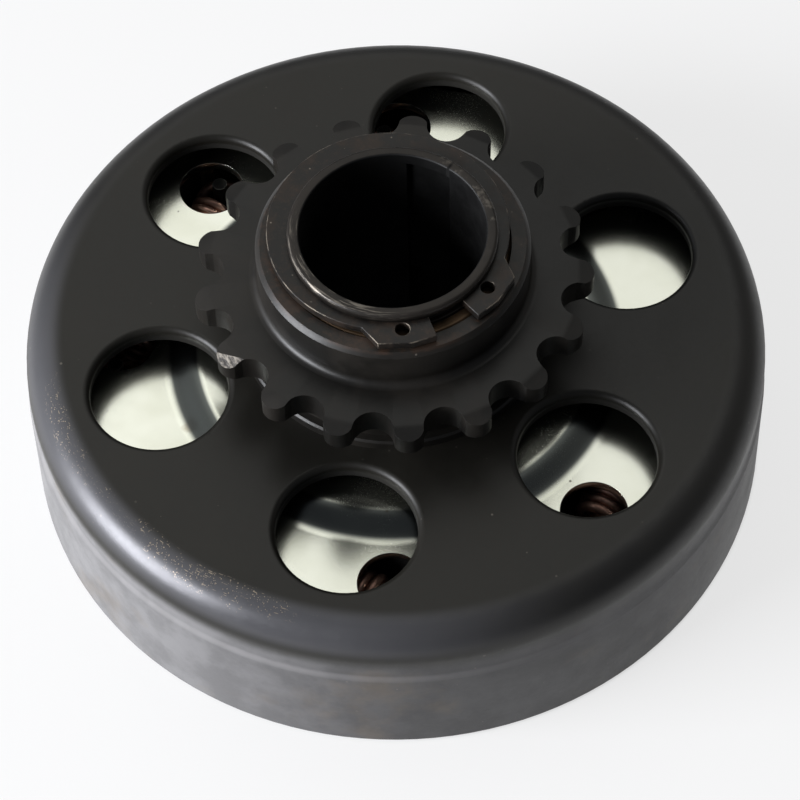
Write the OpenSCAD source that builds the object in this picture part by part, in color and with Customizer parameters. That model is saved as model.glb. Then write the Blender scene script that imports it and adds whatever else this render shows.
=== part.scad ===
// Centrifugal clutch: a chain sprocket and drum that turn on a keyed hub,
// with four sprung shoes inside. Millimetres, +Z up, origin at the middle
// of the drum's open rim, on which the clutch stands.

/* [Drum] */
// Outer diameter of the drawn wall above the crease
wall_d = 104.7; // [102:0.1:108]
// How far the band under the crease stands out from the wall
band_step = 0.3; // [0.1:0.05:0.6]
// How far the open rim flares out from the band's top
rim_flare = 0.4; // [0:0.05:0.8]
// Height of the drum from the rim to its face
drum_h = 26.0; // [25:0.1:29]
// Height of the crease in the wall
crease_h = 16.7; // [12:0.1:18]
// Height over which the wall steps in above the crease
crease_step_h = 0.7; // [0.4:0.1:1.5]
// Thickness of the steel sheet
sheet_t = 2.3; // [1.8:0.1:2.8]
// Outer radius of the drum's corner
corner_r = 5.0; // [3.5:0.1:6]
// Chamfer on the rim's edges
rim_chamfer = 0.4; // [0.2:0.1:0.8]

/* [Face holes] */
// Number of round holes in the face
hole_count = 6; // [4:1:6]
// Diameter of a face hole
hole_d = 19.3; // [14:0.1:20]
// Distance from a hole's centre to the wall's outside
hole_margin = 17.65; // [16:0.05:18.5]
// Rounding of a hole's outer edge
hole_edge_r = 1.0; // [0.4:0.1:1.4]

/* [Sprocket] */
// Number of teeth
tooth_count = 17; // [16:1:18]
// Pitch of the chain
chain_pitch = 9.525; // [9.3:0.005:9.7]
// Diameter of the chain's rollers
roller_d = 5.08; // [4.6:0.02:5.4]
// Height of the teeth over the pitch circle
tooth_rise = 1.55; // [1.2:0.05:2]
// Thickness of the toothed disc
tooth_t = 4.3; // [3.6:0.1:4.8]
// Depth of the bevel on each side of the tooth tips
tooth_bevel = 0.6; // [0.3:0.1:0.9]
// Size of the knocked corner of one tooth
chip_w = 1.3; // [0.6:0.1:2]
// Turn of the teeth about the axis, in degrees
tooth_turn = 10.9; // [0:0.1:21]
// Height of the gap for the chain between the flange and the teeth
chain_gap_h = 5.8; // [5:0.1:7]
// Diameter of the flange that sits on the drum's face
flange_d = 43.6; // [43:0.1:46]
// Thickness of the flange
flange_t = 1.6; // [1.2:0.1:2.4]
// Diameter of the neck under the teeth
neck_d = 41.0; // [40:0.1:42]
// Diameter of the collar above the teeth
collar_d = 37.5; // [37:0.1:39]
// Height of the collar above the teeth
collar_h = 6.6; // [5:0.1:8]
// Chamfer on the collar's top edge
collar_chamfer = 0.65; // [0.3:0.05:1]
// Fillet at the foot of the collar
collar_fillet = 1.4; // [0.8:0.1:2]
// Diameter of the spigot that goes through the drum's face
spigot_d = 35.8; // [35:0.1:36.5]
// Width of the staked lip that holds the spigot
stake_w = 0.9; // [0.5:0.1:1.2]
// Height of the staked lip
stake_h = 1.1; // [0.8:0.1:1.4]

/* [Bush] */
// Outer diameter of the bronze bush
bush_d = 32.2; // [31.4:0.1:33]
// Depth of the bush's top below the collar's top
bush_recess = 0.3; // [0.1:0.1:0.8]
// Chamfer on the bush's outer edges
bush_chamfer = 0.5; // [0.2:0.1:0.8]
// Radial running clearance between the bush and the hub
bush_fit = 0.04; // [0.02:0.01:0.08]

/* [Hub] */
// Bore for the engine's shaft
bore_d = 25.4; // [25:0.1:25.8]
// Outer diameter of the hub's tube
tube_d = 28.6; // [28:0.1:29]
// Height of the tube's end above the snap ring
tube_end_h = 1.35; // [1:0.05:3]
// Chamfer on the tube's end, outside
tube_chamfer = 0.6; // [0.3:0.05:0.8]
// Chamfer at both mouths of the bore
mouth_chamfer = 0.3; // [0.2:0.05:0.5]
// Width of the keyway
keyway_w = 6.35; // [5:0.05:7]
// Distance from the axis to the keyway's floor
keyway_floor_r = 15.6; // [14.6:0.1:16]
// Depth of the tool's relief groove in the tube, from the bore's surface
relief_depth = 0.45; // [0.2:0.05:0.6]
// Direction of the keyway, in degrees
keyway_turn = 77.5; // [0:0.5:180]
// Diameter of the hub's body between the plates
body_d = 51.0; // [49:0.1:52]
// Height of the lower nose above the rim's plane
nose_z = 1.4; // [0.6:0.1:2]
// Diameter of the lower nose
nose_d = 34.0; // [33:0.1:36]
// Diameter of the shoulder that passes through the front plate
shoulder_d = 33.0; // [32:0.1:34]
// Distance from the outer end of a drive key to the shoe's outside
drive_key_margin = 13.95; // [13:0.05:16]
// Width of a drive key
drive_key_w = 11.0; // [9:0.1:12]

/* [Plates] */
// Thickness of both plates
plate_t = 1.8; // [1.4:0.1:2]
// Height of the back plate's lower face
back_z = 3.0; // [2.6:0.1:3.2]
// Clearance between the front plate and the drum's wall
front_gap = 3.05; // [1.5:0.05:4]
// Clearance between the back plate and the drum's wall
back_gap = 3.55; // [1.5:0.05:6]
// Height of the pressed step round the front plate's middle
dish_h = 0.9; // [0.5:0.1:1.2]
// Distance from the hub's body to the pressed step's top
dish_margin = 2.0; // [1:0.1:3]
// Width of the pressed step
dish_w = 2.5; // [1.5:0.1:3.5]
// Diameter of a window in the front plate
window_d = 9.4; // [7:0.1:10]
// Chamfer on the plates' outer edges
plate_chamfer = 0.3; // [0.2:0.1:0.6]

/* [Rivets and washer] */
// Diameter of a rivet's shank
rivet_d = 4.0; // [3:0.1:4.4]
// Diameter of a rivet's head
rivet_head_d = 6.0; // [5.4:0.1:6.2]
// Height of a rivet's head
rivet_head_h = 1.3; // [1:0.1:1.5]
// Distance from a rivet's middle to the outside of the hub's body
rivet_margin = 3.5; // [3.3:0.1:3.7]
// Thickness of the thrust washer
washer_t = 1.2; // [0.8:0.1:1.6]
// Diameter of the thrust washer
washer_d = 37.0; // [36:0.1:37.4]
// Clearance between the washer and the parts that run on it
running_gap = 0.1; // [0.05:0.05:0.2]

/* [Snap ring] */
// Thickness of the snap ring
ring_t = 1.27; // [1:0.01:1.6]
// Depth of the ring's groove in the tube
groove_depth = 0.75; // [0.5:0.05:0.8]
// Axial play of the ring in its groove
groove_play = 0.1; // [0.05:0.01:0.2]
// Outer radius of the ring's body
ring_r = 16.5; // [16:0.1:16.9]
// Offset of the ring's outer circle, away from its gap
ring_offset = 1.3; // [0.8:0.1:1.5]
// Height of the lugs over the ring's narrow part
lug_rise = 2.6; // [2:0.1:2.8]
// Half angle of the ring's gap, in degrees
ring_gap_a = 10.5; // [8:0.5:14]
// Angle that one lug covers, in degrees
lug_a = 26; // [22:1:30]
// Diameter of a plier hole
plier_d = 1.95; // [1.5:0.05:2.2]
// Distance from a plier hole to the lug's outer edge
plier_margin = 2.4; // [2:0.1:2.6]
// Direction of the ring's gap, in degrees
ring_turn = -49; // [-180:1:180]

/* [Shoes] */
// Direction of the first shoe, in degrees
shoe_turn = 32.5; // [0:0.5:89]
// Outward travel of a shoe before its lining meets the drum
travel = 1.0; // [0.6:0.1:1.2]
// Clearance that is left between the lining and the drum
lining_gap = 0.3; // [0.2:0.05:0.4]
// Thickness of the lining
lining_t = 2.8; // [2:0.1:3.4]
// Half of the gap between neighbouring shoes
split_half = 1.6; // [1.2:0.1:2.4]
// How far a lining's ends stand back from its shoe's ends
lining_setback = 1.0; // [0.4:0.1:2]
// How far a lining's sides stand back from its shoe's sides
lining_inset = 0.5; // [0.3:0.1:1]
// Clearance between a shoe and the hub's body at rest
seat_gap = 0.3; // [0.2:0.05:0.5]
// Clearance on each side of a drive key
key_fit = 0.2; // [0.1:0.05:0.3]
// Clearance between a shoe and each plate
shoe_play = 0.3; // [0.2:0.05:0.5]

/* [Springs] */
// Outer diameter of a spring's coil
coil_d = 7.4; // [6:0.1:7.6]
// Diameter of the spring's wire
wire_d = 1.5; // [1.2:0.05:1.6]
// Distance from a spring's axis to the shoe's outside
spring_margin = 10.85; // [10:0.05:11.5]
// Distance from a spring's middle to its posts
post_reach = 17.5; // [16.8:0.1:18]
// Diameter of a post
post_d = 2.2; // [2:0.1:2.4]
// Inner diameter of the loop round a post
loop_d = 4.8; // [4.6:0.1:5]
// Clearance under a spring in its pocket
pocket_floor_gap = 0.3; // [0.2:0.05:0.5]
// Clearance on each side of a spring in its pocket
pocket_side_gap = 1.3; // [1.2:0.1:1.4]

/* [Hidden] */
$fn = 96;
eps = 0.01;
shoe_count = 4;
shoe_step = 360 / shoe_count;
window_count = 2 * shoe_count;
rim_d = wall_d + 2 * band_step + 2 * rim_flare;
band_d = wall_d + 2 * band_step;
inner_r = wall_d / 2 - sheet_t;
hole_pitch_r = wall_d / 2 - hole_margin;
front_d = 2 * (inner_r - front_gap);
back_d = 2 * (inner_r - back_gap);
dish_top_r = body_d / 2 + dish_margin;
dish_foot_r = dish_top_r + dish_w;
rivet_pitch_r = body_d / 2 - rivet_margin;
lug_r = ring_r - ring_offset + lug_rise;
plier_r = lug_r - plier_margin;
face_under_z = drum_h - sheet_t;
pitch_r = chain_pitch / sin(180 / tooth_count) / 2;
tip_r = pitch_r + tooth_rise;
seat_r = roller_d / 2 + 0.04;
flange_top_z = drum_h + flange_t;
tooth_z = flange_top_z + chain_gap_h;
tooth_top_z = tooth_z + tooth_t;
collar_top_z = tooth_top_z + collar_h;
spigot_end_z = face_under_z - stake_h;
ring_z = collar_top_z + groove_play + running_gap / 2;
groove_z = ring_z - groove_play / 2;
groove_h = ring_t + groove_play;
groove_r = tube_d / 2 - groove_depth;
tube_top_z = ring_z + ring_t + tube_end_h;
washer_top_z = spigot_end_z - running_gap;
shoulder_z = washer_top_z - washer_t;
back_top_z = back_z + plate_t;
dish_top_z = shoulder_z - 0.4;
dish_under_z = dish_top_z - plate_t;
front_top_z = dish_top_z - dish_h;
front_z = front_top_z - plate_t;
shoe_z = back_top_z + shoe_play;
shoe_top_z = front_z - shoe_play;
shoe_h = shoe_top_z - shoe_z;
shoe_inner_r = body_d / 2 + seat_gap;
lining_r = inner_r - lining_gap;
shoe_r = lining_r - lining_t;
drive_key_r = shoe_r - drive_key_margin;
spring_r = shoe_r - spring_margin;
window_pitch_r = spring_r / cos(shoe_step / 4);
split_turn = shoe_turn + shoe_step / 2;
coil_r = coil_d / 2;
wire_r = wire_d / 2;
spring_z = shoe_top_z - coil_r - 0.9;
pocket_z = spring_z - coil_r - pocket_floor_gap;
pocket_w = coil_d + 2 * pocket_side_gap;
loop_r = loop_d / 2 + wire_r;
pocket_end = post_reach + loop_r + wire_r + pocket_side_gap;
coil_half = post_reach - loop_r;
coil_turns = ceil(2 * coil_half / wire_d);
coil_step = (2 * coil_half - wire_d) / (coil_turns - 1);

// Copies its children round the axis
module ring_of(count, radius, start = 0) {
    for (i = [0 : count - 1])
        rotate(start + i * 360 / count) translate([radius, 0, 0]) children();
}

// A ring with a square section
module tube(outer, inner, from, to) {
    translate([0, 0, from]) difference() {
        cylinder(r = outer, h = to - from);
        translate([0, 0, -1]) cylinder(r = inner, h = to - from + 2);
    }
}

// Half section of the drawn cup, radius along X and height along Y
module drum_section() {
    difference() {
        union() {
            polygon([
                [0, 0], [rim_d / 2 - rim_chamfer, 0], [rim_d / 2, rim_chamfer],
                [band_d / 2, crease_h], [wall_d / 2, crease_h + crease_step_h],
                [wall_d / 2, drum_h - corner_r], [wall_d / 2 - corner_r, drum_h],
                [0, drum_h]
            ]);
            translate([wall_d / 2 - corner_r, drum_h - corner_r]) circle(corner_r);
        }
        polygon([
            [-1, -1], [inner_r + rim_chamfer, -1], [inner_r + rim_chamfer, 0],
            [inner_r, rim_chamfer], [inner_r, drum_h - corner_r],
            [wall_d / 2 - corner_r, face_under_z], [-1, face_under_z]
        ]);
        translate([wall_d / 2 - corner_r, drum_h - corner_r]) circle(corner_r - sheet_t);
    }
}

// Tool that punches one face hole and rounds its outer edge
module hole_tool() {
    rotate_extrude() difference() {
        union() {
            translate([0, face_under_z - 1]) square([hole_d / 2, sheet_t + 2]);
            translate([0, drum_h - hole_edge_r])
                square([hole_d / 2 + hole_edge_r, hole_edge_r + 1]);
        }
        translate([hole_d / 2 + hole_edge_r, drum_h - hole_edge_r]) circle(hole_edge_r);
        translate([hole_d / 2 + hole_edge_r, face_under_z - 2])
            square([hole_edge_r + 1, sheet_t + 2 - hole_edge_r]);
    }
}

module drum_shell() {
    color([0.16, 0.15, 0.15]) difference() {
        rotate_extrude() drum_section();
        translate([0, 0, face_under_z - 1]) cylinder(d = spigot_d, h = sheet_t + 2);
        ring_of(hole_count, hole_pitch_r, -90) hole_tool();
    }
}

// Outline of the teeth: a disc less one roller seat and its flanks for each gap
module tooth_outline() {
    difference() {
        circle(tip_r);
        for (i = [0 : tooth_count - 1])
            rotate(tooth_turn + (i + 0.5) * 360 / tooth_count) {
                translate([pitch_r, 0]) circle(seat_r);
                polygon([
                    [pitch_r, -seat_r], [tip_r + 1, -seat_r - 1.3],
                    [tip_r + 1, seat_r + 1.3], [pitch_r, seat_r]
                ]);
            }
    }
}

// Disc with bevelled edges that the teeth are cut from
module tooth_blank() {
    bevel_w = tooth_rise + 1;
    rotate_extrude() polygon([
        [0, tooth_z], [tip_r - bevel_w, tooth_z], [tip_r, tooth_z + tooth_bevel],
        [tip_r, tooth_top_z - tooth_bevel], [tip_r - bevel_w, tooth_top_z], [0, tooth_top_z]
    ]);
}

// Half section of the sprocket's hub, from the staked lip to the collar
module sprocket_section() {
    collar_r = collar_d / 2;
    spigot_r = spigot_d / 2;
    difference() {
        union() {
            polygon([
                [0, spigot_end_z], [spigot_r + stake_w - 0.3, spigot_end_z],
                [spigot_r + stake_w, spigot_end_z + 0.3], [spigot_r + stake_w, face_under_z],
                [spigot_r, face_under_z], [spigot_r, drum_h], [flange_d / 2, drum_h],
                [flange_d / 2, flange_top_z - 0.3], [flange_d / 2 - 0.3, flange_top_z],
                [neck_d / 2, flange_top_z], [neck_d / 2, tooth_top_z],
                [collar_r, tooth_top_z], [collar_r, collar_top_z - collar_chamfer],
                [collar_r - collar_chamfer, collar_top_z], [0, collar_top_z]
            ]);
            translate([collar_r - eps, tooth_top_z - eps])
                square([collar_fillet + eps, collar_fillet + eps]);
        }
        translate([collar_r + collar_fillet, tooth_top_z + collar_fillet])
            circle(collar_fillet);
        translate([-1, spigot_end_z - 1])
            square([bush_d / 2 + 1, collar_top_z - spigot_end_z + 2]);
    }
}

module sprocket() {
    chip_turn = tooth_turn + 10 * 360 / tooth_count;
    color([0.2, 0.19, 0.19]) difference() {
        union() {
            rotate_extrude() sprocket_section();
            difference() {
                intersection() {
                    tooth_blank();
                    translate([0, 0, tooth_z - 1]) linear_extrude(tooth_t + 2) tooth_outline();
                }
                translate([0, 0, tooth_z - 1]) cylinder(d = neck_d - 1, h = tooth_t + 2);
            }
        }
        // the knocked corner of one tooth
        rotate(chip_turn) translate([tip_r - chip_w, -chip_w, tooth_top_z])
            rotate([0, 35, 12]) translate([0, -chip_w, -chip_w / 4]) cube([4, 3, 2] * chip_w);
    }
}

module bush() {
    color([0.72, 0.5, 0.28]) rotate_extrude() polygon([
        [tube_d / 2 + bush_fit, spigot_end_z],
        [bush_d / 2 - bush_chamfer, spigot_end_z],
        [bush_d / 2, spigot_end_z + bush_chamfer],
        [bush_d / 2, collar_top_z - bush_recess - bush_chamfer],
        [bush_d / 2 - bush_chamfer, collar_top_z - bush_recess],
        [tube_d / 2 + bush_fit, collar_top_z - bush_recess]
    ]);
}

// Half section of the hub without its drive keys
module hub_section() {
    tube_r = tube_d / 2;
    mouth_r = bore_d / 2 + mouth_chamfer;
    polygon([
        [bore_d / 2, nose_z + mouth_chamfer], [mouth_r, nose_z], [nose_d / 2, nose_z],
        [nose_d / 2, back_top_z], [body_d / 2, back_top_z], [body_d / 2, dish_under_z],
        [shoulder_d / 2, dish_under_z], [shoulder_d / 2, shoulder_z], [tube_r, shoulder_z],
        [tube_r, groove_z], [groove_r, groove_z], [groove_r, groove_z + groove_h],
        [tube_r, groove_z + groove_h], [tube_r, tube_top_z - tube_chamfer],
        [tube_r - tube_chamfer, tube_top_z], [mouth_r, tube_top_z],
        [bore_d / 2, tube_top_z - mouth_chamfer]
    ]);
}

module hub() {
    color([0.3, 0.28, 0.26]) difference() {
        union() {
            rotate_extrude() hub_section();
            ring_of(shoe_count, bore_d / 2 + 4, shoe_turn)
                translate([0, -drive_key_w / 2, shoe_z])
                    cube([drive_key_r - bore_d / 2 - 4, drive_key_w, shoe_h]);
        }
        rotate(keyway_turn) translate([0, -keyway_w / 2, nose_z - 1])
            cube([keyway_floor_r, keyway_w, shoulder_z - nose_z]);
        rotate(keyway_turn) translate([0, -keyway_w / 2, nose_z - 1])
            cube([bore_d / 2 + relief_depth, keyway_w, tube_top_z - nose_z + 2]);
        ring_of(shoe_count, rivet_pitch_r, shoe_turn)
            translate([0, 0, back_top_z - 1]) cylinder(d = rivet_d, h = dish_top_z);
    }
}

module front_plate() {
    edge_r = front_d / 2;
    color([0.8, 0.81, 0.74]) difference() {
        rotate_extrude() polygon([
            [shoulder_d / 2, dish_under_z], [dish_top_r, dish_under_z],
            [dish_foot_r, front_z], [edge_r - plate_chamfer, front_z],
            [edge_r, front_z + plate_chamfer], [edge_r, front_top_z - plate_chamfer],
            [edge_r - plate_chamfer, front_top_z], [dish_foot_r, front_top_z],
            [dish_top_r, dish_top_z], [shoulder_d / 2, dish_top_z]
        ]);
        ring_of(window_count, window_pitch_r, split_turn + shoe_step / 4)
            translate([0, 0, front_z - 1]) cylinder(d = window_d, h = plate_t + 2);
        ring_of(shoe_count, rivet_pitch_r, shoe_turn)
            translate([0, 0, dish_under_z - 1]) cylinder(d = rivet_d, h = plate_t + 2);
    }
}

module back_plate() {
    edge_r = back_d / 2;
    color([0.8, 0.81, 0.74]) difference() {
        rotate_extrude() polygon([
            [nose_d / 2, back_z], [edge_r - plate_chamfer, back_z],
            [edge_r, back_z + plate_chamfer], [edge_r, back_top_z - plate_chamfer],
            [edge_r - plate_chamfer, back_top_z], [nose_d / 2, back_top_z]
        ]);
        ring_of(shoe_count, rivet_pitch_r, shoe_turn)
            translate([0, 0, back_z - 1]) cylinder(d = rivet_d, h = plate_t + 2);
    }
}

// A round rivet head that stands up from the plane z = 0
module rivet_head() {
    head_r = rivet_head_d / 2;
    dome_r = (head_r * head_r + rivet_head_h * rivet_head_h) / (2 * rivet_head_h);
    intersection() {
        translate([0, 0, rivet_head_h - dome_r]) sphere(dome_r);
        cylinder(r = rivet_head_d, h = rivet_head_h + 1);
    }
}

module rivets() {
    color([0.7, 0.7, 0.66]) ring_of(shoe_count, rivet_pitch_r, shoe_turn) {
        translate([0, 0, back_z]) cylinder(d = rivet_d, h = dish_top_z - back_z);
        translate([0, 0, dish_top_z]) rivet_head();
        translate([0, 0, back_z]) mirror([0, 0, 1]) rivet_head();
    }
}

module thrust_washer() {
    color([0.6, 0.6, 0.58]) tube(washer_d / 2, tube_d / 2 + 0.2, shoulder_z, washer_top_z);
}

// Point at a radius and an angle
function polar(r, a) = [r * cos(a), r * sin(a)];

// One lug of the snap ring, anticlockwise from the gap
module lug_outline() {
    far_a = ring_gap_a + lug_a;
    polygon([
        [0, 0], polar(lug_r - 0.3, ring_gap_a - 2), polar(lug_r, ring_gap_a + lug_a * 0.45),
        polar(lug_r, far_a), polar(ring_r - ring_offset, far_a + 11)
    ]);
}

module snap_ring() {
    gap_reach = 3 * lug_r;
    color([0.22, 0.2, 0.18]) rotate(ring_turn) translate([0, 0, ring_z]) difference() {
        union() {
            translate([-ring_offset, 0, 0]) cylinder(r = ring_r, h = ring_t);
            linear_extrude(ring_t) lug_outline();
            mirror([0, 1, 0]) linear_extrude(ring_t) lug_outline();
        }
        translate([0, 0, -1]) cylinder(r = groove_r + 0.05, h = ring_t + 2);
        translate([0, 0, -1]) linear_extrude(ring_t + 2)
            polygon([[0, 0], polar(gap_reach, -ring_gap_a), polar(gap_reach, ring_gap_a)]);
        for (side = [-1, 1])
            rotate(side * (ring_gap_a + lug_a * 0.57)) translate([plier_r, 0, -1])
                cylinder(d = plier_d, h = ring_t + 2);
    }
}

// Sector of the plane between the two splits beside a shoe that points along +X
module shoe_wedge(half_gap) {
    apex = half_gap / sin(shoe_step / 2);
    reach = rim_d;
    polygon([
        [apex, 0], [apex, 0] + polar(reach, shoe_step / 2), [2 * reach, 0],
        [apex, 0] + polar(reach, -shoe_step / 2)
    ]);
}

// Space for one end of a spring, seen from the split, which lies along +X
module spring_pocket() {
    translate([spring_r - pocket_w / 2, -split_half - 1, pocket_z])
        cube([pocket_w, pocket_end + split_half + 1, shoe_top_z - pocket_z + 1]);
}

module shoe_body() {
    difference() {
        translate([0, 0, shoe_z]) linear_extrude(shoe_h) difference() {
            intersection() {
                translate([-travel, 0]) circle(shoe_r);
                shoe_wedge(split_half);
            }
            circle(shoe_inner_r);
            translate([0, -drive_key_w / 2 - key_fit])
                square([drive_key_r + seat_gap, drive_key_w + 2 * key_fit]);
        }
        rotate(-shoe_step / 2) spring_pocket();
        mirror([0, 1, 0]) rotate(-shoe_step / 2) spring_pocket();
    }
    for (side = [-1, 1])
        rotate(side * shoe_step / 2) translate([spring_r, -side * post_reach, pocket_z - 1])
            cylinder(d = post_d, h = shoe_top_z - pocket_z + 1 - 0.3);
}

module shoe(i) {
    color([0.42, 0.41, 0.4]) rotate(shoe_turn + (i - 1) * shoe_step) shoe_body();
}

module lining(i) {
    color([0.35, 0.27, 0.2]) rotate(shoe_turn + (i - 1) * shoe_step)
        translate([0, 0, shoe_z + lining_inset]) linear_extrude(shoe_h - 2 * lining_inset)
            intersection() {
                translate([-travel, 0]) difference() {
                    circle(lining_r);
                    circle(shoe_r);
                }
                shoe_wedge(split_half + lining_setback);
            }
}

// Section of a close-wound coil: one round of wire for each turn
module coil_section() {
    for (i = [0 : coil_turns - 1])
        translate([coil_r - wire_r, -coil_half + wire_r + i * coil_step]) circle(wire_r);
}

module spring_body() {
    rotate([-90, 0, 0]) rotate_extrude() coil_section();
    for (side = [-1, 1]) {
        translate([wire_r - coil_r, side * (coil_half - wire_r), 0]) rotate([0, 90, 0])
            cylinder(r = wire_r, h = 2 * (coil_r - wire_r));
        translate([0, side * post_reach, 0]) rotate_extrude()
            translate([loop_r, 0]) circle(wire_r);
    }
}

module spring(i) {
    color([0.55, 0.33, 0.2]) rotate(split_turn + (i - 1) * shoe_step)
        translate([spring_r, 0, spring_z]) spring_body();
}

drum_shell();
sprocket();
bush();
hub();
front_plate();
back_plate();
rivets();
thrust_washer();
snap_ring();
shoe(1);  // shoe_1
shoe(2);  // shoe_2
shoe(3);  // shoe_3
shoe(4);  // shoe_4
lining(1);  // lining_1
lining(2);  // lining_2
lining(3);  // lining_3
lining(4);  // lining_4
spring(1);  // spring_1
spring(2);  // spring_2
spring(3);  // spring_3
spring(4);  // spring_4
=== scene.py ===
"""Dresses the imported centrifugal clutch: drum, sprocket, hub, plates, shoes and springs.

Lengths in the classes are in millimetres and angles in degrees; meshes are in metres.
"""

import logging
import math
from dataclasses import dataclass, field
from enum import Enum
from typing import Any, Dict, List, Optional, Sequence, Tuple, Union

import bmesh
import bpy
from mathutils import Matrix, Vector


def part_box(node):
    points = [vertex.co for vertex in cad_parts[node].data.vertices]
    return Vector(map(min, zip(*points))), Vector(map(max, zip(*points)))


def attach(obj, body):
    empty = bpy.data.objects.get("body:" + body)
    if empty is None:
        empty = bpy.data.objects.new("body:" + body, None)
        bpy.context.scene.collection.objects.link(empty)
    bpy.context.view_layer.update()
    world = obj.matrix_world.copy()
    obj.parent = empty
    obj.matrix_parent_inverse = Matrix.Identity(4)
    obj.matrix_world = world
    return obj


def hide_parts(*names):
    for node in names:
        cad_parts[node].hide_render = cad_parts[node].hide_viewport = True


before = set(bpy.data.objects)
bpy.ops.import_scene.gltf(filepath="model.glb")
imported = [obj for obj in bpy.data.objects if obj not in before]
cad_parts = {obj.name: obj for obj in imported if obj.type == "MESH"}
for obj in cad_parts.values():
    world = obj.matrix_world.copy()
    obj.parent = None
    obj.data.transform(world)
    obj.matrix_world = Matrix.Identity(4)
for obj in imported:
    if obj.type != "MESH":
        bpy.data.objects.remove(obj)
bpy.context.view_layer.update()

LOG = logging.getLogger("clutch")
MM = 0.001
MM_PER_M = 1000.0
# Vertices that lie this close, in metres, are merged.
MERGE = 2e-6
Colour = Tuple[float, float, float, float]
# Two values: where a soft step starts and ends, or a radius and a height.
Span = Tuple[float, float]
Number = Union[float, "Val"]


def shade(red: float, green: float, blue: float) -> Colour:
    """A linear colour from screen values.

    Args:
        red: Red, 0 to 255.
        green: Green, 0 to 255.
        blue: Blue, 0 to 255.

    Returns:
        The colour with an alpha of 1.
    """
    def linear(value: float) -> float:
        """One channel, from screen value to light."""
        v = value / 255
        return v / 12.92 if v <= 0.04045 else ((v + 0.055) / 1.055) ** 2.4

    return (linear(red), linear(green), linear(blue), 1.0)


def polar(radius: float, angle: float, height: float = 0.0) -> Vector:
    """A point in millimetres at a radius, an angle and a height."""
    turn = math.radians(angle)
    return Vector((radius * math.cos(turn), radius * math.sin(turn), height))


def direction(azimuth: float, elevation: float) -> Vector:
    """The way to a place seen from the origin: azimuth 0 is in front, and 90 to the right."""
    a, e = math.radians(azimuth), math.radians(elevation)
    return Vector((math.sin(a) * math.cos(e), -math.cos(a) * math.cos(e), math.sin(e)))


def heading(start: Vector, end: Vector) -> float:
    """The angle at which one point lies from another, seen from above, in degrees."""
    return math.degrees(math.atan2(*(end - start).yx))


def half_turn(angle: float) -> float:
    """The same angle in degrees, between -180 and 180."""
    return (angle + 180) % 360 - 180


def arc(middle: Vector, radius: float, start: float, sweep: float, steps: int) -> List[Vector]:
    """Points along an arc that lies flat.

    Args:
        middle: The arc's middle.
        radius: Its radius.
        start: The angle of its first point, in degrees.
        sweep: The angle from the first point to the last.
        steps: Steps from the first point to the last.

    Returns:
        The points.
    """
    return [middle + polar(radius, start + sweep * i / steps) for i in range(steps + 1)]


def bend(middle: Span, radius: float, start: float, sweep: float, steps: int) -> List[Span]:
    """An arc in a turned piece's profile, with radius and height as its two axes."""
    return [(p.x, p.y) for p in arc(Vector((*middle, 0)), radius, start, sweep, steps)]


def put(name: str, data: bpy.types.ID) -> bpy.types.Object:
    """An object made of some data and put in the scene."""
    made = bpy.data.objects.new(name, data)
    bpy.context.scene.collection.objects.link(made)
    return made


@dataclass(frozen=True)
class Val:
    """A number on a socket. Sums and products of it add Math nodes."""

    graph: "Graph"
    socket: bpy.types.NodeSocket

    def __add__(self, other: Number) -> "Val":
        """Sum."""
        return self.graph.math("ADD", self, other)

    def __radd__(self, other: Number) -> "Val":
        """Sum with a number on the left."""
        return self.graph.math("ADD", other, self)

    def __sub__(self, other: Number) -> "Val":
        """Difference."""
        return self.graph.math("SUBTRACT", self, other)

    def __rsub__(self, other: Number) -> "Val":
        """Difference from a number."""
        return self.graph.math("SUBTRACT", other, self)

    def __mul__(self, other: Number) -> "Val":
        """Product."""
        return self.graph.math("MULTIPLY", self, other)

    def __rmul__(self, other: Number) -> "Val":
        """Product with a number on the left."""
        return self.graph.math("MULTIPLY", other, self)

    def __truediv__(self, other: Number) -> "Val":
        """Quotient."""
        return self.graph.math("DIVIDE", self, other)

    def __pow__(self, other: Number) -> "Val":
        """Power."""
        return self.graph.math("POWER", self, other)

    def __or__(self, other: Number) -> "Val":
        """The larger of two masks."""
        return self.graph.math("MAXIMUM", self, other)

    def __and__(self, other: Number) -> "Val":
        """The smaller of two masks."""
        return self.graph.math("MINIMUM", self, other)


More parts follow.
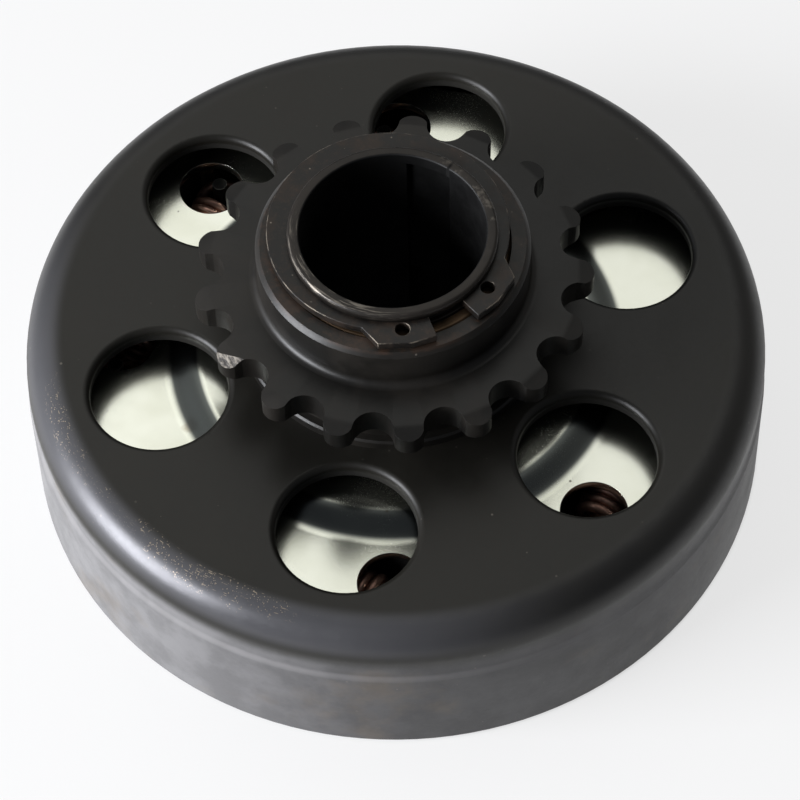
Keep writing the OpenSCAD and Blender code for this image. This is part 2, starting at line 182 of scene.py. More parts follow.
class Graph:
    """A node tree under construction, with Object coordinates ready as height, radius and angle."""

    # The radius, in metres, at which an angle counts as a length along a turned surface.
    arc_radius: float = 0.03

    def __init__(self, owner: Union[bpy.types.Material, bpy.types.World]) -> None:
        """Empties the owner's node tree.

        Args:
            owner: The material or world.
        """
        self.owner = owner
        owner.use_nodes = True
        self.tree = owner.node_tree
        self.tree.nodes.clear()
        self._parts: Dict[str, Any] = {}

    @classmethod
    def named(cls, name: str) -> "Graph":
        """A graph on a new material."""
        return cls(bpy.data.materials.new(name))

    def node(self, kind: str, settings: Optional[Dict[str, Any]] = None,
             inputs: Optional[Dict[Any, Any]] = None) -> bpy.types.Node:
        """Adds one node.

        Args:
            kind: The node's type.
            settings: Its own options, set first. "stops" fills a ramp with (place, colour) pairs.
            inputs: Values or links of its sockets, by name or number.

        Returns:
            The node.
        """
        made = self.tree.nodes.new(kind)
        for key, value in (settings or {}).items():
            if key == "stops":
                ramp = made.color_ramp
                while len(ramp.elements) < len(value):
                    ramp.elements.new(0.5)
                for element, (place, colour) in zip(ramp.elements, value):
                    element.position = place
                    element.color = colour
            else:
                setattr(made, key, value)
        for key, value in (inputs or {}).items():
            socket = value.socket if isinstance(value, Val) else value
            if isinstance(socket, bpy.types.NodeSocket):
                self.tree.links.new(socket, made.inputs[key])
            else:
                made.inputs[key].default_value = value
        return made

    def math(self, operation: str, a: Number, b: Number = 0.0, clamp: bool = False) -> Val:
        """One Math node's result."""
        made = self.node("ShaderNodeMath", {"operation": operation, "use_clamp": clamp}, {0: a, 1: b})
        return Val(self, made.outputs[0])

    @property
    def place(self) -> bpy.types.NodeSocket:
        """Object coordinates."""
        if "place" not in self._parts:
            self._parts["place"] = self.node("ShaderNodeTexCoord").outputs["Object"]
        return self._parts["place"]

    def axis(self, number: int) -> Val:
        """One of the Object coordinates, in metres: 0 is X, 1 is Y and 2 is Z."""
        if "split" not in self._parts:
            self._parts["split"] = self.node("ShaderNodeSeparateXYZ", None, {0: self.place})
        return Val(self, self._parts["split"].outputs[number])

    @property
    def height(self) -> Val:
        """Height above the rim's plane, in millimetres."""
        if "height" not in self._parts:
            self._parts["height"] = self.axis(2) * MM_PER_M
        return self._parts["height"]

    @property
    def radius(self) -> Val:
        """Distance from the clutch's axis, in millimetres."""
        if "radius" not in self._parts:
            x, y = self.axis(0) * MM_PER_M, self.axis(1) * MM_PER_M
            self._parts["radius"] = self.math("SQRT", x * x + y * y)
        return self._parts["radius"]

    @property
    def angle(self) -> Val:
        """Angle about the clutch's axis, in degrees from -180 to 180."""
        if "angle" not in self._parts:
            turn = self.math("ARCTAN2", self.axis(1), self.axis(0))
            self._parts["angle"] = turn * (180 / math.pi)
        return self._parts["angle"]

    def near(self, value: Val, centre: float, reach: float) -> Val:
        """A soft mask: 1 where a value is at centre, 0 from reach away on."""
        return self.rise(self.math("ABSOLUTE", value - centre), reach, 0.0)

    def rise(self, value: Number, start: float, end: float) -> Val:
        """A soft step: 0 at start, 1 at end."""
        made = self.node("ShaderNodeMapRange", {"interpolation_type": "SMOOTHSTEP"},
                         {"Value": value, "From Min": start, "From Max": end})
        return Val(self, made.outputs[0])

    def toward(self, angle: float, reach: float) -> Val:
        """A soft mask of the directions within reach degrees of an angle."""
        turn = math.radians(angle)
        x, y = self.axis(0), self.axis(1)
        along = (x * math.cos(turn) + y * math.sin(turn)) * MM_PER_M / self.radius
        return self.rise(along, math.cos(math.radians(reach)), 1.0)

    def moved(self, vector: Any, stretch: Tuple[float, float, float],
              turn: float = 0.0) -> bpy.types.NodeSocket:
        """Coordinates stretched and turned: the given ones, or Object coordinates instead of None."""
        made = self.node("ShaderNodeMapping", None, {
            "Vector": self.place if vector is None else vector,
            "Rotation": (math.radians(turn), math.radians(turn * 0.4), 0), "Scale": stretch})
        return made.outputs[0]

    def noise(self, scale: float, detail: float = 3.0, rough: float = 0.55,
              stretch: Tuple[float, float, float] = (1, 1, 1), vector: Any = None) -> Val:
        """A noise pattern.

        Args:
            scale: Features per metre.
            detail: Octaves.
            rough: Weight of the finer octaves.
            stretch: Scale along X, Y and Z.
            vector: Coordinates to use instead of Object coordinates.

        Returns:
            The pattern, about 0.3 to 0.7.
        """
        made = self.node("ShaderNodeTexNoise", None, {"Vector": self.moved(vector, stretch), "Scale": scale,
                                                      "Detail": detail, "Roughness": rough})
        return Val(self, made.outputs[0])

    def round_about(self) -> bpy.types.NodeSocket:
        """Coordinates that follow the turned surfaces: radius, arc length at one radius, and height."""
        if "turned" not in self._parts:
            along = self.angle * math.radians(self.arc_radius)
            made = self.node("ShaderNodeCombineXYZ", None,
                             {0: self.radius * MM, 1: along, 2: self.axis(2)})
            self._parts["turned"] = made.outputs[0]
        return self._parts["turned"]

    def specks(self, scale: float, size: float, keep: float = 0.5,
               stretch: Tuple[float, float, float] = (1, 1, 1), turn: float = 0.0, vector: Any = None) -> Val:
        """Small round specks, or short scratches where they are stretched.

        Args:
            scale: Cells per metre.
            size: Size of a speck, as a share of its cell.
            keep: Share of the cells that hold a speck.
            stretch: Scale along the three coordinates.
            turn: Turn of the pattern about the first coordinate, in degrees.
            vector: Coordinates to use instead of Object coordinates.

        Returns:
            A mask.
        """
        cells = self.node("ShaderNodeTexVoronoi", None,
                          {"Vector": self.moved(vector, stretch, turn), "Scale": scale})
        pick = self.node("ShaderNodeSeparateColor", None, {0: cells.outputs["Color"]})
        chosen = self.rise(Val(self, pick.outputs[0]), keep, keep - 0.05)
        lean = 0.4 + Val(self, pick.outputs[1]) * 0.9
        return chosen * self.rise(Val(self, cells.outputs["Distance"]) / lean, size, size * 0.5)

    def mix(self, amount: Number, low: Any, high: Any, blend: str = "MIX") -> bpy.types.NodeSocket:
        """A colour between two colours, or one blended on the other."""
        made = self.node("ShaderNodeMix", {"data_type": "RGBA", "blend_type": blend},
                         {0: amount, 6: low, 7: high})
        return made.outputs[2]

    def mark(self, name: str) -> Val:
        """1 on the faces that carry a mark, such as a piece's rounded edges, and 0 elsewhere."""
        made = self.node("ShaderNodeAttribute", {"attribute_name": name})
        return Val(self, made.outputs["Fac"])

    def edge(self) -> Val:
        """1 on the rounded edges of a piece, 0 on its faces."""
        return self.mark("edge")

    def bump(self, height: Val, distance: float, strength: float = 1.0,
             under: Any = None) -> bpy.types.NodeSocket:
        """A Bump node's normal.

        Args:
            height: The height pattern.
            distance: Its real height in millimetres.
            strength: How much of it shows.
            under: A normal to add it to.

        Returns:
            The normal.
        """
        inputs: Dict[Any, Any] = {"Height": height, "Distance": distance * MM, "Strength": strength}
        if under is not None:
            inputs["Normal"] = under
        return self.node("ShaderNodeBump", None, inputs).outputs[0]

    def surface(self, settings: Dict[str, Any]) -> bpy.types.Material:
        """Ends the material with a Principled shader.

        Args:
            settings: Values or links of its sockets.

        Returns:
            The material.
        """
        shader = self.node("ShaderNodeBsdfPrincipled", None, settings)
        self.node("ShaderNodeOutputMaterial", None, {0: shader.outputs[0]})
        return self.owner


@dataclass(frozen=True)
class DrumBlack:
    """Blackened drawn sheet: satin and nearly black on top, greyer on the wall, rubbed and scratched on the
    corner; its left side is painted paler on top and on the wall as painted light, with painted highlights on
    the corner's lower left and along the wall's step.
    """

    name: str = "drum_black"
    face: Colour = shade(20, 19, 16)
    # Paler tone of the top, also painted on its left side as painted light.
    face_tone_and_lit_side: Colour = shade(37, 35, 30)
    wall: Colour = shade(80, 79, 80)
    wall_dark: Colour = shade(58, 57, 58)
    # Paler wall colour, painted on the lit side as painted light.
    wall_painted_lit: Colour = shade(136, 135, 136)
    bloom: Colour = shade(112, 99, 82)
    # Painted highlight along the wall's step.
    crease_highlight: Colour = shade(160, 158, 158)
    # Rubbed corner, painted paler on its lower left as a painted highlight.
    rub_and_highlight: Colour = shade(108, 108, 112)
    dust: Colour = shade(128, 122, 112)
    metal: Colour = shade(214, 196, 172)
    # Angle of the rubbed corner, whose lower left also carries a painted highlight.
    rub_and_highlight_angle: float = 236.0
    # Angle of the side that is painted paler as painted light.
    lit_side_angle: float = 212.0
    crease_z: float = 17.1
    crease_reach: float = 0.9
    crease_r: Span = (51.5, 52.0)
    scuff_radius: float = 48.9
    scuff_reach: float = 3.0
    scuff_z: Span = (22.4, 23.6)
    # Heights of the rubbed corner and its painted highlight.
    rub_and_highlight_z: Span = (21.6, 24.0)
    corner_r: Span = (46.6, 49.0)
    corner_z: Span = (20.2, 22.4)
    wall_r: Span = (50.4, 51.2)
    wall_z: Span = (21.4, 18.8)
    inside_r: Span = (50.3, 50.0)
    inside_z: Span = (25.2, 24.2)

    def make(self) -> bpy.types.Material:
        """Builds the material."""
        g = Graph.named(self.name)
        turned = g.round_about()
        cloud = g.rise(g.noise(34, 4, 0.6), 0.36, 0.66)
        smear = g.rise(g.noise(120, 4, 0.6, (1, 0.4, 1)), 0.42, 0.72)
        fine = g.noise(1700, 2, 0.6)
        drawn = g.noise(240, 4, 0.65, (1, 0.14, 1.6), turned)
        mottle = g.rise(g.noise(150, 4, 0.6), 0.36, 0.64)
        within = g.rise(g.radius, *self.inside_r) * g.rise(g.height, *self.inside_z)
        low = g.rise(g.height, *self.wall_z) * g.rise(g.radius, *self.wall_r)
        corner = g.rise(g.radius, *self.corner_r) * g.rise(g.height, *self.corner_z)
        # Random cloud and smear tone, plus the top's left side painted paler as painted light.
        tone_and_lit_side = cloud * 0.4 + smear * 0.2 + g.rise(g.axis(0), 0.03, -0.05) * 0.25
        skin = g.mix(tone_and_lit_side, self.face, self.face_tone_and_lit_side)
        side = g.mix(mottle * 0.5 + drawn * 0.4, self.wall_dark, self.wall)
        # Painted light: the wall is painted paler towards its lit left side.
        side = g.mix(g.toward(self.lit_side_angle, 75) * (0.55 + 0.3 * mottle), side, self.wall_painted_lit)
        side = g.mix(g.rise(g.noise(70, 4, 0.65), 0.52, 0.72) * 0.35, side, self.bloom)
        skin = g.mix(low, skin, side)
        # Painted highlight: a pale line round the wall's step, stronger on the lit left side.
        line = g.near(g.height, self.crease_z, self.crease_reach) * g.rise(g.radius, *self.crease_r)
        line = line * (0.15 + drawn * 0.6) * (0.4 + 0.6 * g.toward(self.lit_side_angle, 80))
        skin = g.mix(line, skin, self.crease_highlight)
        # The corner is rubbed, and on its lower left the colour is raised as a painted highlight.
        rubbed = corner * g.rise(g.height, *self.rub_and_highlight_z) * (0.1 + 0.9 * g.toward(self.rub_and_highlight_angle, 76))
        skin = g.mix(rubbed * 0.65, skin, self.rub_and_highlight)
        strokes = g.specks(3300, 0.3, 0.5, (1.4, 0.35, 1.4), 12, turned) \
            | g.specks(2900, 0.28, 0.45, (0.5, 1.5, 0.8), -35, turned) | g.specks(3900, 0.36, 0.5)
        patch = g.rise(g.noise(150, 3, 0.65), 0.42, 0.6)
        scuffed = g.toward(self.rub_and_highlight_angle, 46) * g.near(g.radius, self.scuff_radius, self.scuff_reach)
        scuffed = scuffed * g.rise(g.height, *self.scuff_z)
        bare = strokes * g.rise(scuffed * (0.35 + patch), 0.2, 0.8)
        dots = g.specks(900, 0.2, 0.06) * g.rise(g.noise(36, 3, 0.6), 0.44, 0.6)
        dust = g.specks(520, 0.07, 0.14)
        skin = g.mix(bare * 0.6, skin, self.metal)
        skin = g.mix((dots * 0.5 | dust * 0.45) * (1 - within), skin, self.dust)
        grain = g.bump(fine, 0.01, 0.5)
        normal = g.bump(cloud + smear * 0.4 + mottle * low * 0.6, 0.02, 0.6, grain)
        rough = 0.36 + cloud * 0.06 + smear * 0.05 + (fine - 0.5) * 0.12 - rubbed * 0.06 + low * 0.06 \
            + within * 0.55
        return g.surface({"Base Color": skin, "Metallic": bare * 0.5 + rubbed * 0.4, "Roughness": rough,
                          "Specular IOR Level": 0.38, "Normal": normal})


@dataclass(frozen=True)
class SprocketBlack:
    """Blackened turned steel with worn edges and a trace of rust on top."""

    name: str = "sprocket_black"
    skin: Colour = shade(18, 17, 15)
    light: Colour = shade(37, 34, 30)
    rust: Colour = shade(64, 47, 36)
    metal: Colour = shade(150, 143, 132)
    pit: Colour = shade(46, 43, 40)
    rust_z: Span = (43.9, 44.2)
    worn_z: Span = (42.5, 43.8)
    fleck_z: Span = (42.0, 43.5)

    def make(self) -> bpy.types.Material:
        """Builds the material."""
        g = Graph.named(self.name)
        cloud = g.rise(g.noise(75, 4, 0.62), 0.36, 0.66)
        turned = g.round_about()
        rings = g.noise(2600, 2, 0.6, (1, 0.02, 1), turned)
        fine = g.noise(2200, 2)
        base = g.mix(cloud * 0.8, self.skin, self.light)
        top = g.rise(g.height, *self.rust_z)
        patch = g.rise(g.noise(260, 5, 0.7), 0.44, 0.62)
        crumbs = g.rise(g.noise(1300, 3, 0.7), 0.52, 0.68)
        base = g.mix(top * (patch * 0.5 + crumbs * 0.3), base, self.rust)
        broken = g.rise(g.noise(420, 3, 0.7), 0.46, 0.62)
        worn = g.edge() * broken * (0.12 + 0.4 * g.rise(g.height, *self.worn_z))
        chip = g.mark("chip")
        pits = g.noise(1500, 4, 0.7, (1, 0.3, 1), turned)
        flecks = g.specks(1400, 0.24, 0.08) * g.rise(g.height, *self.fleck_z)
        bare = (worn | flecks * 0.6) | chip
        fresh = g.mix(g.rise(pits, 0.42, 0.62) * (1 - chip * 0.3), self.pit, self.metal)
        base = g.mix(bare * 0.8, base, fresh)
        grain = g.bump(fine, 0.01, 0.5)
        normal = g.bump(rings + crumbs * top * 0.6, 0.012, 0.5, g.bump(pits * chip, 0.25, 0.9, grain))
        return g.surface({"Base Color": base, "Metallic": bare * 0.4,
                          "Roughness": 0.36 + cloud * 0.1 + (fine - 0.5) * 0.1,
                          "Specular IOR Level": 0.38, "Normal": normal})


@dataclass(frozen=True)
class RingBrown:
    """Phosphated spring steel, dark brown, with stamped edges rubbed bright in places."""

    name: str = "ring_brown"
    skin: Colour = shade(20, 18, 16)
    rust: Colour = shade(54, 43, 34)
    metal: Colour = shade(150, 140, 126)

    def make(self) -> bpy.types.Material:
        """Builds the material."""
        g = Graph.named(self.name)
        cloud = g.rise(g.noise(220, 5, 0.7), 0.44, 0.66)
        crumbs = g.rise(g.noise(1300, 3, 0.7), 0.5, 0.68)
        fine = g.noise(2600, 3)
        base = g.mix(cloud * 0.55 + crumbs * 0.3, self.skin, self.rust)
        worn = g.edge() * g.rise(g.noise(420, 3, 0.6), 0.46, 0.62)
        specks = g.specks(1500, 0.22, 0.07)
        base = g.mix((worn * 0.55) | (specks * 0.55), base, self.metal)
        return g.surface({"Base Color": base, "Metallic": worn * 0.4, "Roughness": 0.4 + cloud * 0.12,
                          "Specular IOR Level": 0.4, "Normal": g.bump(fine + crumbs * 0.5, 0.014, 0.6)})


@dataclass(frozen=True)
class HubSteel:
    """Turned steel, black with oil inside and out, the bore also painted near black as painted shade, a
    painted shade line in the keyway, and bright streaks on the tube's end, partly rubbed and partly a painted
    highlight.
    """

    name: str = "hub_steel"
    # Bore colour: oily, and painted near black as painted shade.
    bore: Colour = shade(8, 8, 8)
    outside: Colour = shade(34, 31, 28)
    outside_light: Colour = shade(56, 51, 46)
    bright: Colour = shade(160, 152, 140)
    bit: Colour = shade(120, 86, 74)
    # Black of the painted shade in the keyway.
    black: Colour = shade(1, 1, 1)
    # Angle of the tube end's rubbed streaks, which also stand as a painted highlight.
    rub_and_highlight_angle: float = 232.0
    back_angle: float = 40.0
    keyway_angle: float = 64.4
    keyway_reach: float = 1.6
    keyway_r: Span = (14.0, 13.2)
    bore_r: Span = (12.96, 12.8)
    mouth_r: Span = (13.7, 13.6)
    mouth_z: Span = (46.3, 46.1)
    end_z: Span = (46.0, 46.5)

    def make(self) -> bpy.types.Material:
        """Builds the material."""
        g = Graph.named(self.name)
        turned = g.round_about()
        rings = g.noise(1800, 3, 0.6, (1.5, 0.02, 1.5), turned)
        cloud = g.rise(g.noise(140, 4, 0.65), 0.38, 0.64)
        fine = g.noise(2400, 2)
        # The bore and the tube's mouth: oily, and painted near black as painted shade.
        inside = (g.rise(g.radius, *self.mouth_r) * g.rise(g.height, *self.mouth_z)) \
            | g.rise(g.radius, *self.bore_r)
        base = g.mix(cloud * 0.5, self.outside, self.outside_light)
        end = g.rise(g.height, *self.end_z)
        streaks = g.rise(g.noise(1100, 3, 0.65, (3.4, 0.1, 1.5), turned), 0.5, 0.66)
        chips = g.rise(g.noise(520, 4, 0.7), 0.5, 0.66)
        # Streaks and edges on the tube end's lower left: partly rubbed, partly a painted highlight.
        front = g.toward(self.rub_and_highlight_angle, 66) * (streaks * 0.55 | g.edge() * 0.4)
        back = g.toward(self.back_angle, 50) * chips * 0.25
        worn = end * (front | g.edge() * chips * 0.45 | back)
        base = g.mix(worn, base, self.bright)
        base = g.mix(inside, base, self.bore)
        bits = g.specks(700, 0.1, 0.05) * inside
        base = g.mix(bits * 0.6, base, self.bit)
        # Painted shade: a near-black line in the corner of the keyway.
        keyway_painted_shade = g.near(g.angle, self.keyway_angle, self.keyway_reach) * g.rise(g.radius, *self.keyway_r)
        base = g.mix(keyway_painted_shade, base, self.black)
        metal = (0.3 + worn * 0.4) * (1 - inside)
        return g.surface({"Base Color": base, "Metallic": metal,
                          "Roughness": 0.36 + cloud * 0.12 + inside * 0.12 + keyway_painted_shade * 0.4,
                          "Specular IOR Level": 0.38, "Normal": g.bump(rings + fine * 0.5, 0.012, 0.5)})


@dataclass(frozen=True)
class ZincMirror:
    """Bright zinc with a pale yellow-green tint and a fine grain, darker where the plate steps down."""

    name: str = "zinc_mirror"
    tint: Colour = shade(246, 248, 236)
    dull: Colour = shade(232, 234, 216)
    stain: Colour = shade(150, 120, 78)
    dirt: Colour = shade(70, 60, 46)
    shaded: Colour = shade(62, 68, 71)
    stain_at: Tuple[float, float] = (-25.6, -18.6)
    stain_r: Span = (3.1, 1.6)
    stain_z: Span = (18.6, 19.0)
    # Heights between which the plate's curve is darkened, in place of a reflection.
    step_foot: Span = (19.61, 19.8)
    step_top: Span = (20.9, 20.8)

    def make(self) -> bpy.types.Material:
        """Builds the material."""
        g = Graph.named(self.name)
        cloud = g.rise(g.noise(70, 3, 0.6), 0.38, 0.66)
        grain = g.noise(5200, 3, 0.75)
        swell = g.noise(55, 2, 0.5)
        base = g.mix(cloud * 0.5, self.tint, self.dull)
        x = g.axis(0) * MM_PER_M - self.stain_at[0]
        y = g.axis(1) * MM_PER_M - self.stain_at[1]
        away = g.math("SQRT", x * x + y * y)
        spot = g.rise(away + g.noise(600, 3) * 3.0, *self.stain_r) * g.rise(g.height, *self.stain_z)
        base = g.mix(spot * 0.4, base, self.stain)
        step = g.rise(g.height, *self.step_foot) * g.rise(g.height, *self.step_top)
        base = g.mix(step * 0.9, base, self.shaded)
        base = g.mix(g.specks(500, 0.1, 0.14) * 0.7, base, self.dirt)
        rough = 0.2 + cloud * 0.05 + (grain - 0.5) * 0.2
        normal = g.bump(swell, 0.05, 0.5, g.bump(grain, 0.006, 0.6))
        return g.surface({"Base Color": base, "Metallic": 1.0, "Roughness": rough, "Normal": normal})


@dataclass(frozen=True)
class TurnedBronze:
    """Sintered bronze bush, a little tarnished."""

    name: str = "bronze"
    skin: Colour = shade(104, 84, 64)
    dark: Colour = shade(36, 29, 23)

    def make(self) -> bpy.types.Material:
        """Builds the material."""
        g = Graph.named(self.name)
        rings = g.noise(1500, 3, 0.6, (1, 0.03, 1), g.round_about())
        cloud = g.rise(g.noise(240, 4, 0.6), 0.4, 0.62)
        base = g.mix(cloud * 0.6, self.skin, self.dark)
        return g.surface({"Base Color": base, "Metallic": 0.8, "Roughness": 0.38 + cloud * 0.12,
                          "Normal": g.bump(rings, 0.01, 0.5)})


@dataclass(frozen=True)
class CopperWire:
    """Copper-washed spring wire, oily, with darker patches in a cloud."""

    name: str = "copper_wire"
    skin: Colour = shade(206, 164, 146)
    dark: Colour = shade(84, 60, 52)

    def make(self) -> bpy.types.Material:
        """Builds the material."""
        g = Graph.named(self.name)
        cloud = g.rise(g.noise(420, 3, 0.6), 0.38, 0.62)
        base = g.mix(cloud * 0.65, self.skin, self.dark)
        return g.surface({"Base Color": base, "Metallic": 0.85, "Roughness": 0.3 + cloud * 0.15,
                          "Normal": g.bump(g.noise(2600, 2), 0.006, 0.5)})


@dataclass(frozen=True)
class PlainMetal:
    """Plain metal with clouded tone and a fine grain."""

    name: str
    skin: Colour
    dark: Colour
    metallic: float = 0.7
    rough: float = 0.42
    grain: float = 1800.0
    grain_depth: float = 0.02
    worn: Colour = shade(150, 146, 138)

    def make(self) -> bpy.types.Material:
        """Builds the material."""
        g = Graph.named(self.name)
        cloud = g.rise(g.noise(110, 4, 0.6), 0.38, 0.64)
        fine = g.noise(self.grain, 3, 0.65)
        base = g.mix(cloud, self.skin, self.dark)
        base = g.mix(g.edge() * 0.5, base, self.worn)
        return g.surface({"Base Color": base, "Metallic": self.metallic,
                          "Roughness": self.rough + (fine - 0.5) * 0.14,
                          "Normal": g.bump(fine, self.grain_depth, 0.6)})


@dataclass(frozen=True)
class Lining:
    """Moulded friction material: brown binder with pale and brassy grains."""

    name: str = "friction_lining"
    skin: Colour = shade(104, 84, 66)
    dark: Colour = shade(62, 50, 40)
    brass: Colour = shade(176, 150, 104)

    def make(self) -> bpy.types.Material:
        """Builds the material."""
        g = Graph.named(self.name)
        grains = g.specks(900, 0.4, 0.4)
        fine = g.noise(1300, 4, 0.7)
        base = g.mix(g.rise(fine, 0.35, 0.65), self.skin, self.dark)
        base = g.mix(grains * 0.5, base, self.brass)
        return g.surface({"Base Color": base, "Metallic": 0.0, "Roughness": 0.82,
                          "Normal": g.bump(fine, 0.08, 0.7)})


class Finish(Enum):
    """The finishes, each with its maker and a slot name."""

    DRUM = (DrumBlack(), "drum_paint")
    SPROCKET = (SprocketBlack(), "sprocket_steel")
    RING = (RingBrown(), "ring_steel")
    HUB = (HubSteel(), "hub_steel")
    ZINC = (ZincMirror(), "zinc_plate")
    BRONZE = (TurnedBronze(), "bronze")
    COPPER = (CopperWire(), "spring_wire")
    RIVET = (PlainMetal("rivet_steel", shade(150, 150, 142), shade(96, 94, 88), metallic=0.9, rough=0.34,
                        grain=2000, grain_depth=0.008), "rivet_steel")
    SHOE = (PlainMetal("shoe_iron", shade(42, 41, 40), shade(24, 23, 22), metallic=0.5, rough=0.5,
                       grain=1600, grain_depth=0.04), "shoe_iron")
    LINING = (Lining(), "lining")


class Paintshop:
    """Makes each finish once and puts it on pieces."""

    def __init__(self) -> None:
        """Starts with no finish made."""
        self._made: Dict[Finish, bpy.types.Material] = {}

    def dress(self, piece: bpy.types.Object, finish: Finish) -> None:
        """Puts a finish on a piece.

        Args:
            piece: The piece.
            finish: The finish; its slot name is not used here.
        """
        maker, slot = finish.value
        if finish not in self._made:
            self._made[finish] = maker.make()
        piece.data.materials.clear()
        piece.data.materials.append(self._made[finish])


class Bench:
    """Turns bmeshes into finished pieces."""

    @staticmethod
    def lay(bm: bmesh.types.BMesh, name: str, sharp: float = 40.0) -> bpy.types.Object:
        """Makes an object of a bmesh.

        Args:
            bm: The bmesh, which is freed.
            name: The piece's name.
            sharp: Edges steeper than this many degrees stay sharp.

        Returns:
            The object, smooth shaded, with its flat faces kept flat.
        """
        mesh = bpy.data.meshes.new(name)
        bm.to_mesh(mesh)
        bm.free()
        mesh.shade_smooth()
        mesh.set_sharp_from_angle(angle=math.radians(sharp))
        piece = put(name, mesh)
        flat = piece.modifiers.new("flat_faces", "WEIGHTED_NORMAL")
        flat.keep_sharp = True
        return piece

    @staticmethod
    def weld(bm: bmesh.types.BMesh) -> None:
        """Merges the vertices that lie on each other."""
        bmesh.ops.remove_doubles(bm, verts=bm.verts, dist=MERGE)

    @staticmethod
    def flatten(bm: bmesh.types.BMesh, within: float) -> None:
        """Joins neighbouring faces that lie within so many degrees of flat."""
        bmesh.ops.dissolve_limit(bm, angle_limit=math.radians(within), use_dissolve_boundaries=False,
                                 verts=bm.verts, edges=bm.edges)

    @staticmethod
    def copy_of(node: str) -> bmesh.types.BMesh:
        """A merged copy of a CAD node's mesh, with its flat faces joined."""
        bm = bmesh.new()
        bm.from_mesh(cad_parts[node].data)
        Bench.weld(bm)
        Bench.flatten(bm, 0.3)
        return bm

    @staticmethod
    def lathe(bm: bmesh.types.BMesh, profile: Sequence[Span], steps: int = 240) -> None:
        """Turns a profile round the axis.

        Args:
            bm: The bmesh that takes the faces.
            profile: Radius and height of each point in millimetres, up the outside and down the inside.
            steps: Faces round the axis.
        """
        loops = [[bm.verts.new(polar(radius, 360 * i / steps, height) * MM) for i in range(steps)]
                 for radius, height in profile]
        for low, high in zip(loops, loops[1:]):
            for i in range(steps):
                k = (i + 1) % steps
                bm.faces.new((low[i], low[k], high[k], high[i]))

    @staticmethod
    def cut(blank: bmesh.types.BMesh, tools: bmesh.types.BMesh) -> bmesh.types.BMesh:
        """Cuts tools out of a blank.

        Args:
            blank: The closed mesh that is cut, which is freed.
            tools: The closed meshes that cut it, which are freed.

        Returns:
            The cut mesh.
        """
        pair = []
        for bm, name in ((blank, "blank"), (tools, "tools")):
            mesh = bpy.data.meshes.new(name)
            bm.to_mesh(mesh)
            bm.free()
            pair.append(put(name, mesh))
        step = pair[0].modifiers.new("cut", "BOOLEAN")
        step.operation = "DIFFERENCE"
        step.solver = "EXACT"
        step.object = pair[1]
        made = bmesh.new()
        made.from_object(pair[0], bpy.context.evaluated_depsgraph_get())
        for item in pair:
            bpy.data.objects.remove(item)
        return made

    @staticmethod
    def round_edges(bm: bmesh.types.BMesh, width: float, steep: float, segments: int) -> None:
        """Rounds the steep edges and marks the roundings for the worn finish.

        Args:
            bm: The bmesh.
            width: Width of a rounding in millimetres.
            steep: Least angle between the faces of an edge that is rounded.
            segments: Faces across a rounding.
        """
        mark = bm.loops.layers.float.new("edge")
        least = math.radians(steep)
        edges = [e for e in bm.edges if len(e.link_faces) == 2 and e.calc_face_angle(0.0) > least]
        made = bmesh.ops.bevel(bm, geom=edges, offset=width * MM, offset_type="OFFSET", segments=segments,
                               profile=0.5, affect="EDGES", clamp_overlap=True, material=-1)
        for face in made["faces"]:
            for loop in face.loops:
                loop[mark] = 1.0


@dataclass
class Part:
    """A piece that stands for one CAD node, with its edges rounded."""

    node: str
    body: str
    finish: Finish
    rounding: float = 0.2
    steep: float = 26.0
    segments: int = 2

    def shape(self) -> bmesh.types.BMesh:
        """The piece's mesh before its edges are rounded: the CAD node's own."""
        return Bench.copy_of(self.node)

    def build(self, shop: Paintshop) -> bpy.types.Object:
        """Builds, dresses and places the piece.

        Args:
            shop: Where the finish comes from.

        Returns:
            The piece.
        """
        bm = self.shape()
        if self.rounding:
            Bench.round_edges(bm, self.rounding, self.steep, self.segments)
        piece = Bench.lay(bm, self.node + "_finished")
        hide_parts(self.node)
        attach(piece, self.body)
        shop.dress(piece, self.finish)
        return piece


@dataclass
class HubCore(Part):
    """The hub, with its tube's end turned anew over the keyway's shallow run."""

    tube_radius: float = 14.3
    groove_radius: float = 13.55
    bore_radius: float = 12.7
    groove_below_end: float = 1.3
    cut_below_end: float = 1.9
    outer_round: float = 0.55
    inner_round: float = 0.3
    round_steps: int = 6

    def shape(self) -> bmesh.types.BMesh:
        """The hub up to the ring's groove, and the tube's end above it."""
        bm = super().shape()
        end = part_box(self.node)[1][2] / MM
        cut = end - self.cut_below_end
        bmesh.ops.bisect_plane(bm, geom=[*bm.verts, *bm.edges, *bm.faces], dist=1e-7, clear_outer=True,
                               plane_co=(0, 0, cut * MM), plane_no=(0, 0, 1))
        shoulder = end - self.groove_below_end
        outer, inner = self.outer_round, self.inner_round
        Bench.lathe(bm, [
            (self.groove_radius, cut), (self.groove_radius, shoulder), (self.tube_radius, shoulder),
            *bend((self.tube_radius - outer, end - outer), outer, 0, 90, self.round_steps),
            *bend((self.bore_radius + inner, end - inner), inner, 90, 90, self.round_steps),
            (self.bore_radius, cut)])
        return bm


